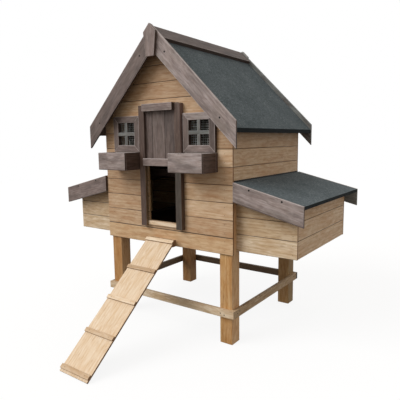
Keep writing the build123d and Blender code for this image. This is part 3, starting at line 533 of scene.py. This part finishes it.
# A copy of a node's boards with eased arrises. Each board gets its own grain, tone and edge distances.
# Others are pairs of a finish and a test: a face takes the first whose test it meets, or else the main finish.
def easedBoards(nodeName, finish, ease, others):
    luck = random.Random(zlib.crc32(nodeName.encode()))
    points, faces, smooth, grains, boards, cuts, picks = [], [], [], [], [], [], []
    boardFrames[nodeName] = []
    for solid in solidsOf(nodes[nodeName].data):
        shape = bmesh.new()
        corners = {}
        for face in solid:
            for place in face:
                if place not in corners:
                    corners[place] = shape.verts.new([c * gridSize for c in place])
            shape.faces.new([corners[place] for place in face])
        shape.normal_update()
        bmesh.ops.dissolve_limit(shape, angle_limit=math.radians(easing["flat"]), verts=shape.verts[:],
                                 edges=shape.edges[:])
        shape.normal_update()
        longest = max(shape.edges, key=lambda e: round(e.calc_length(), 5))
        along = (longest.verts[1].co - longest.verts[0].co).normalized()
        along *= 1 if max(along, key=abs) > 0 else -1
        flanks = [f for f in shape.faces if abs(f.normal.dot(along)) < boardFaces["flank"]]
        broad = max(flanks, key=lambda f: round(f.calc_area(), 7))
        deep = broad.normal.copy()
        across = deep.cross(along)
        low, high = (pick(v.co.dot(across) for v in broad.verts) for pick in (min, max))
        spans = [[pick(v.co.dot(axis) for v in shape.verts) for pick in (min, max)] for axis in (along, across, deep)]
        boardFrames[nodeName].append({"axes": (along, across, deep), "spans": spans})
        if nodeName in cutLines:
            bmesh.ops.bisect_plane(shape, geom=shape.verts[:] + shape.edges[:] + shape.faces[:],
                                   plane_co=(0, 0, cutLines[nodeName]), plane_no=(0, 0, 1))
        sharp = [e for e in shape.edges if len(e.link_faces) == 2 and e.calc_length() > easing["leastRadii"] * ease
                 and e.calc_face_angle_signed(0) > math.radians(easing["sharp"])]
        eased = bmesh.ops.bevel(shape, geom=sharp, offset=ease, segments=easing["segments"], profile=0.5, affect="EDGES",
                                clamp_overlap=True)
        for f in eased["faces"]:
            f.material_index = 1  # marks an eased arris
        bmesh.ops.dissolve_degenerate(shape, dist=easing["sliver"], edges=shape.edges[:])
        shape.normal_update()

        middle = [sum(span) / 2 for span in spans]
        start = luck.uniform(0, logCut["alongMost"])
        pithAcross = luck.uniform(-1, 1) * logCut["pithAcross"]
        pithDeep = luck.choice((-1, 1)) * luck.uniform(logCut["pithDeepLeast"], logCut["pithDeepMost"])
        leanAcross, leanDeep = (luck.uniform(-1, 1) * logCut["lean"] for _ in range(2))
        tone = luck.random()
        if nodeName in boardTonesAndShade:
            tone = boardTonesAndShade[nodeName][len(boardFrames[nodeName]) - 1] + luck.uniform(-toneSpread, toneSpread)
        first = len(points)
        shape.verts.index_update()
        for v in shape.verts:
            a, b, c = (v.co.dot(axis) - m for axis, m in zip((along, across, deep), middle))
            points.append(v.co[:])
            grains += [a + start, b + pithAcross + a * leanAcross, c + pithDeep + a * leanDeep]
            inset = [v.co.dot(across) - low, high - v.co.dot(across)]
            boards += (inset if across.z >= 0 else inset[::-1]) + [tone]
        for f in shape.faces:
            faces.append([first + v.index for v in f.verts])
            isEased = f.material_index == 1
            smooth.append(isEased)
            isEnd = abs(f.normal.dot(along)) > boardFaces["end"] and not isEased
            isEdge = abs(f.normal.dot(deep)) < boardFaces["edge"]
            cuts += [float(isEnd), float(isEased), float(isEdge)]
            centre = f.calc_center_median()
            picks.append(next((i for i, (_, isMet) in enumerate(others, 1) if isMet(f.normal, centre)), 0))
        shape.free()

    coats = [finish] + [other for other, _ in others]
    mesh = addPiece(nodeName + "_eased", nodes[nodeName]["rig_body"], coats, points, faces, nodeName)
    mesh.polygons.foreach_set("use_smooth", smooth)
    mesh.polygons.foreach_set("material_index", picks)
    for name, domain, values in (("grain", "POINT", grains), ("board", "POINT", boards), ("cut", "FACE", cuts)):
        mesh.attributes.new(name, "FLOAT_VECTOR", domain).data.foreach_set("vector", values)


# limits for the tests below: shares of a face's normal along an axis, then places in metres
squarely, outward, downward, mudAndShadeDown = 0.75, 0.5, -0.3, -0.4
cabinMiddle, cabinInward = 0.292, -0.3  # y of the middle, and how far a face looks back toward it
openingsHalf, popHoleHalf, trackAside = 0.42, 0.15, 0.08  # from the middle of the front
rearFrom, leftFrom, farFrom, eaveSlack = 0.5, -0.3, 0.3, 0.002
# which faces of a piece take its other finish, by the way they face and where their middle is
faceTests = {
    "aside": lambda normal, at: abs(normal.x) > squarely,
    # faces looking into the house, and the boards' cut ends at the openings: their darker finish is painted shade
    "inward": lambda normal, at: (normal.x * at.x + normal.y * (at.y - cabinMiddle) < cabinInward
                                  or abs(normal.x) > squarely and abs(at.x) < openingsHalf),
    "underneath": lambda normal, at: normal.z < downward,
    "asideOrUnder": lambda normal, at: abs(normal.x) > squarely or normal.z < downward,
    "farRails": lambda normal, at: at.y > rearFrom and normal.y < outward or at.x < leftFrom and normal.x > -outward,
    "back": lambda normal, at: normal.y > squarely,
    # sides and faces turned down: their soiled finish is mud, and painted shade
    "mudAndShade": lambda normal, at: abs(normal.x) > squarely or normal.z < mudAndShadeDown,
    "belowEave": lambda normal, at: at.z < eave + eaveSlack,
    "insideFar": lambda normal, at: normal.y < -squarely and at.y > farFrom,
    "popJamb": lambda normal, at: abs(normal.x) > squarely and abs(at.x) < popHoleHalf,
    "towardHole": lambda normal, at: normal.x * at.x < -trackAside and at.z < doorFoot,
    "awayHigh": lambda normal, at: normal.x * at.x > trackAside and at.z > doorFoot,
    "awayLow": lambda normal, at: normal.x * at.x > trackAside and at.z < doorFoot,
    "rightFoot": lambda normal, at: at.x > 0 and at.z < doorFoot,
    "leftFront": lambda normal, at: normal.y < -squarely and at.x < 0,
}
# arris radii in metres, by how each kind of piece was worked
arrises = {"matchboard": 0.0009, "sawn": 0.0012, "trim": 0.0015, "leg": 0.0022, "sheet": 0.0005, "folded": 0.0012}
# main finish, slot, kind, other finishes, nodes
dressing = [
    # faces looking into the house take the stained or thick-stained finish: painted shade of the dark inside
    ("honeyBoards", "pine_boards", "matchboard", [("grey", "popJamb"), ("stained", "inward")], ["front_wall_boards"]),
    ("honeyBoards", "pine_boards", "matchboard", [("thickStainAndShade", "inward")],
     ["back_wall_boards", "left_wall_boards", "right_wall_boards", "back_door_boards"]),
    ("skirtBoards", "pine_boards", "matchboard", [], ["skirt_boards"]),
    ("greyBoards", "pine_boards", "matchboard", [("tightBoards", "aside")], ["nest_boards_left", "nest_boards_right"]),
    ("honey", "pine_boards", "sawn", [],
     ["gable_rafters", "ridge_beam", "floor_bearers", "nest_battens", "back_door_ledges", "turn_button"]),
    # perches and their cradles inside the dark house: the thick stain is painted shade
    ("thickStainAndShade", "pine_boards", "sawn", [], ["perches", "perch_cradles"]),
    # the ledger's ends and underside take the soiled finish: mud, and painted shade
    ("honey", "pine_boards", "sawn", [("soiledAndShaded", "asideOrUnder")], ["ramp_ledger"]),
    # the battens' faces looking into the house take the thick stain: painted shade
    ("honey", "pine_boards", "sawn", [("thickStainAndShade", "inward")], ["wall_battens"]),
    # the rails at the back and on the left take the darker copy: painted shade under the house
    ("grey", "pine_boards", "sawn", [("darkGrey", "farRails")], ["rails_side", "rails_cross"]),
    ("orange", "pine_boards", "leg", [("amber", "aside")], ["leg_front_left", "leg_front_right"]),
    ("orange", "pine_boards", "leg", [], ["leg_back_left"]),
    # the back right leg's sides take a darker copy: painted shade under the house
    ("tawny", "pine_boards", "leg", [("dullShaded", "aside")], ["leg_back_right"]),
    # the sill's and ramp's sides and undersides take the soiled finish: mud, and painted shade
    ("pale", "pale_pine", "trim", [("soiledAndShaded", "mudAndShade")], ["door_sill", "ramp_plank", "ramp_cleats"]),
    ("stainedBoards", "stained_pine", "sawn", [], ["pop_door_boards"]),
    # on the trim below, down to the planters, sides and undersides take the thick stain as painted shade
    ("stained", "stained_pine", "sawn", [("thickStainAndShade", "underneath")], ["ridge_caps"]),
    ("stained", "stained_pine", "trim", [("thickStainAndShade", "asideOrUnder")],
     ["finials", "window_frame_left", "window_frame_right", "pop_door_battens"]),
    ("silvered", "stained_pine", "trim", [("thickStainAndShade", "asideOrUnder")], ["window_bars"]),
    # the left barge's front face takes painted shade along its lower edge
    ("stained", "stained_pine", "trim", [("thickStainAndShade", "asideOrUnder"), ("shadedLowEdge", "leftFront")], ["barge_front"]),
    # the rear barges' tails below the eave: painted shade
    ("silvered", "stained_pine", "trim", [("stained", "back"), ("shadedUnderEave", "belowEave"), ("thickStainAndShade", "asideOrUnder")],
     ["barge_back"]),
    # the lid barges and the planters below take painted shade along their lower edges
    ("shadedLowEdge", "stained_pine", "trim", [("thickStainAndShade", "asideOrUnder"), ("silvered", "insideFar")],
     ["lid_barges_left", "lid_barges_right"]),
    ("shadedLowEdge", "stained_pine", "trim", [("thickStainAndShade", "asideOrUnder")], ["planter_left", "planter_right"]),
    # the tracks' outer sides above the door's foot take a paler copy: painted light against the shade there
    ("thickStainAndShade", "stained_pine", "trim",
     [("darkGrey", "towardHole"), ("paintedLightHigh", "awayHigh"), ("reddened", "awayLow"), ("greened", "rightFoot")], ["door_tracks"]),
    # the floor's dark film also paints the shade inside the house
    ("filmPly", "film_plywood", "sheet", [], ["floor_panel"]),
    # the roof deck's underside takes the brown copy: painted shade under the eaves
    ("ply", "plywood", "sheet", [("shadedPly", "underneath")], ["roof_deck_left", "roof_deck_right"]),
    ("ply", "plywood", "sheet", [], ["nest_floors", "nest_dividers", "lid_deck_left", "lid_deck_right"]),
    ("felt", "roof_felt", "folded", [], ["roof_felt_left", "roof_felt_right", "lid_felt_left", "lid_felt_right"]),
]
for main, slot, kind, others, names in dressing:
    others = [(finishes[other], faceTests[test]) for other, test in others]
    for name in names:
        easedBoards(name, finishes[main], arrises[kind], others)
# hinges take the lacquer; on the nest lids its near-black also paints the shade in their gap at the wall
for name, node in nodes.items():
    if "hinge" in name:
        node.data.materials.clear()
        node.data.materials.append(finishes["lacquer"])
print("boards eased and dressed:", len(boardFrames), "nodes")


# the faces between two rings of n points, by the first point of each
def joinRings(a, b, n):
    return [[a + k, a + (k + 1) % n, b + (k + 1) % n, b + k] for k in range(n)]


# Welded mesh behind the windows: round wires in place of the flat net, in metres. The net is 1.2 mm thick; its wires are
# drawn 1.4 mm thick so that they show from here. Backs are in wires behind the net's front: the level ones come first.
weldedMesh = {"pitch": 0.0127, "wire": 0.0014, "sides": 8, "levelBack": 0.5, "uprightBack": 1.4}
points, faces = [], []
net = [v.co for v in nodes["window_mesh"].data.vertices]
front = min(p.y for p in net)
for side in (-1, 1):
    corners = [p for p in net if p.x * side > 0]
    low, high = (Vector([pick(p[i] for p in corners) for i in range(3)]) for pick in (min, max))
    middle = (low + high) / 2
    count = int((high.x - low.x) / weldedMesh["pitch"])
    for level in (True, False):
        run = Vector((1, 0, 0)) if level else Vector((0, 0, 1))
        over = Vector((0, 0, 1)) if level else Vector((1, 0, 0))
        half = (high - low).dot(run) / 2
        back = front + weldedMesh["wire"] * weldedMesh["levelBack" if level else "uprightBack"]
        for i in range(count):
            centre = middle + over * (i - (count - 1) / 2) * weldedMesh["pitch"]
            centre.y = back
            first = len(points)
            n = weldedMesh["sides"]
            for end in (-half, half):
                for k in range(n):
                    turn = 2 * math.pi * k / n
                    off = over * math.cos(turn) + Vector((0, 1, 0)) * math.sin(turn)
                    points.append((centre + run * end + off * weldedMesh["wire"] / 2)[:])
            faces += joinRings(first, first + n, n)
            faces += [[first + k for k in range(n)], [first + 2 * n - 1 - k for k in range(n)]]
wires = addPiece("window_mesh_wires", "house", [finishes["zinc"]], points, faces, "window_mesh")
wires.polygons.foreach_set("use_smooth", [len(f) == 4 for f in faces])
print("mesh wires made")

# Fasteners. Screw heads are flat with a cross recess, nail heads are low domes; sizes in metres.
screwHead = {"radius": 0.005, "proud": 0.0006, "arm": 0.0032, "slot": 0.001, "deep": 0.00045}
railScrew = {key: 0.7 * size for key, size in screwHead.items()}  # a smaller gauge
nailHead = {"radius": 0.0016, "proud": 0.0004}
# sides, depth in the wood, and how high and how far out a head rounds over, as shares of proud and radius
headForm = {"sides": 12, "sunk": 0.0005, "shoulder": 0.4, "crown": 0.8}
wallFront = min(v.co.y for v in nodes["front_wall_boards"].data.vertices)
wallBack = max(v.co.y for v in nodes["back_wall_boards"].data.vertices)
luck = random.Random(11)  # turns the heads


def addHead(points, faces, place, normal, head):
    normal = Vector(normal).normalized()
    aside = normal.orthogonal().normalized()
    turn = luck.uniform(0, 2 * math.pi)
    aside = aside * math.cos(turn) + normal.cross(aside) * math.sin(turn)
    upward = normal.cross(aside)
    first = len(points)

    def put(x, y, z):
        points.append((Vector(place) + aside * x + upward * y + normal * z)[:])

    n = headForm["sides"]
    circle = [(math.cos(2 * math.pi * k / n), math.sin(2 * math.pi * k / n)) for k in range(n)]
    isScrew = "arm" in head
    profile = [(head["radius"], -headForm["sunk"]), (head["radius"], headForm["shoulder"] * head["proud"]),
               (headForm["crown"] * head["radius"], head["proud"])]
    for radius, height in profile:
        for x, y in circle:
            put(x * radius, y * radius, height)
    faces.append([first + n - 1 - k for k in range(n)])  # closed below, out of sight
    rings = 3
    if isScrew:  # the recess has as many corners as the head has sides
        arm, slot = head["arm"], head["slot"]
        cross = [(arm, slot), (slot, slot), (slot, arm)]
        outline = []
        for _ in range(4):
            outline += cross
            cross = [(-y, x) for x, y in cross]
        outline = outline[-1:] + outline[:-1]
        for height in (head["proud"], head["proud"] - head["deep"]):
            for x, y in outline:
                put(x, y, height)
        rings = 5
    for ring in range(rings - 1):
        faces.extend(joinRings(first + ring * n, first + (ring + 1) * n, n))
    last = first + (rings - 1) * n
    if isScrew:  # bottom of the recess: its middle and four arms
        faces.append([last + 2, last + 5, last + 8, last + 11])
        faces.extend([last + k, last + (k + 1) % n, last + (k + 2) % n, last + (k - 1) % n] for k in (0, 3, 6, 9))
    else:
        faces.append([last + k for k in range(n)])


# places of the heads in millimetres, across and up, each repeated left and right; out is in front of the front wall
# and behind the back one, in is the other way
headPlaces = {
    "barge": {"at": [(86.9, 1522.5), (421.0, 1179.0)], "out": 70.0},
    "lidBarge": {"at": [(548.0, 830.0), (720.7, 787.2)], "out": 12.0},
    "rail": {"at": [(37.0, 165.5), (61.0, 171.5)], "crossEnd": 438.0, "out": 8.0,  # at: from a rail's end, and up
             "side": 458.0, "sideEnd": -4.0, "sideUp": 8.0},
    "wall": {"across": 402.0, "foot": 578.0, "rows": 6, "row": 90.0, "inRow": (24.0, 66.0)},
    "nest": {"foot": 501.0, "rows": 3, "front": 749.5, "frontIn": 56.0, "side": 771.5, "sideIn": 78.0},
    "sideWall": {"across": 450.0, "in": 50.0, "aboveNest": 353.0},
    "backDoor": {"across": 160.0, "rows": 5},
    "skirt": {"foot": 488.0, "inRow": (22.0, 68.0)},
    "cleat": {"across": 70.0},
}
deepHouse = (wallBack - wallFront) * 1000


# a head on the front and one on the back; y is measured from the front wall's face
def frontAndBack(x, out, z):
    return [((x, -out, z), (0, -1, 0)), ((x, deepHouse + out, z), (0, 1, 0))]


# two heads on the left or the right side
def onSide(way, across, inset, z):
    return [((way * across, y, z), (way, 0, 0)) for y in (inset, deepHouse - inset)]


heads = {name: [] for name in ("house", "rails", "nest_lid_right", "nest_lid_left", "back_door", "ramp", "nails")}
barge, lidBarge, rail, wall, nest, sideWall, backDoor, skirt, cleat = headPlaces.values()
for way in (-1, 1):
    for x, z in barge["at"]:
        heads["house"] += frontAndBack(way * x, barge["out"], z)
    for x, z in lidBarge["at"]:
        heads["nest_lid_right" if way > 0 else "nest_lid_left"] += frontAndBack(way * x, lidBarge["out"], z)
    for inset, z in rail["at"]:
        heads["rails"] += frontAndBack(way * (rail["crossEnd"] - inset), rail["out"], z)
        heads["rails"] += onSide(way, rail["side"], rail["sideEnd"] + inset, z + rail["sideUp"])
    for row in range(wall["rows"]):
        for lift in wall["inRow"]:
            z = wall["foot"] + wall["row"] * row + lift
            heads["nails"] += frontAndBack(way * wall["across"], 0.0, z)
            if row < nest["rows"]:
                low = nest["foot"] + wall["row"] * row + lift
                heads["nails"] += frontAndBack(way * nest["front"], -nest["frontIn"], low)
                heads["nails"] += onSide(way, nest["side"], nest["sideIn"], low)
                heads["nails"] += onSide(way, sideWall["across"], sideWall["in"], low + sideWall["aboveNest"])
            if row < backDoor["rows"]:
                heads["back_door"] += frontAndBack(way * backDoor["across"], 0.0, z)[1:]
    for lift in skirt["inRow"]:
        heads["nails"] += frontAndBack(way * wall["across"], 0.0, skirt["foot"] + lift)
    for lay in boardFrames["ramp_cleats"]:
        along, across, deep = lay["axes"]
        spans = lay["spans"]
        isUp = deep.z > 0
        place = along * way * (cleat["across"] / 1000) + across * sum(spans[1]) / 2 + deep * spans[2][1 if isUp else 0]
        heads["ramp"].append(((place.x * 1000, (place.y - wallFront) * 1000, place.z * 1000), deep if isUp else -deep))
for name, places in heads.items():
    points, faces = [], []
    head = nailHead if name in ("nails", "back_door", "ramp") else railScrew if name == "rails" else screwHead
    for (x, y, z), normal in places:
        addHead(points, faces, (x / 1000, y / 1000 + wallFront, z / 1000), normal, head)
    body = "house" if name in ("nails", "rails") else name
    addPiece("heads_" + name, body, [finishes["lacquer"]], points, faces)
print("fasteners placed:", sum(len(places) for places in heads.values()))
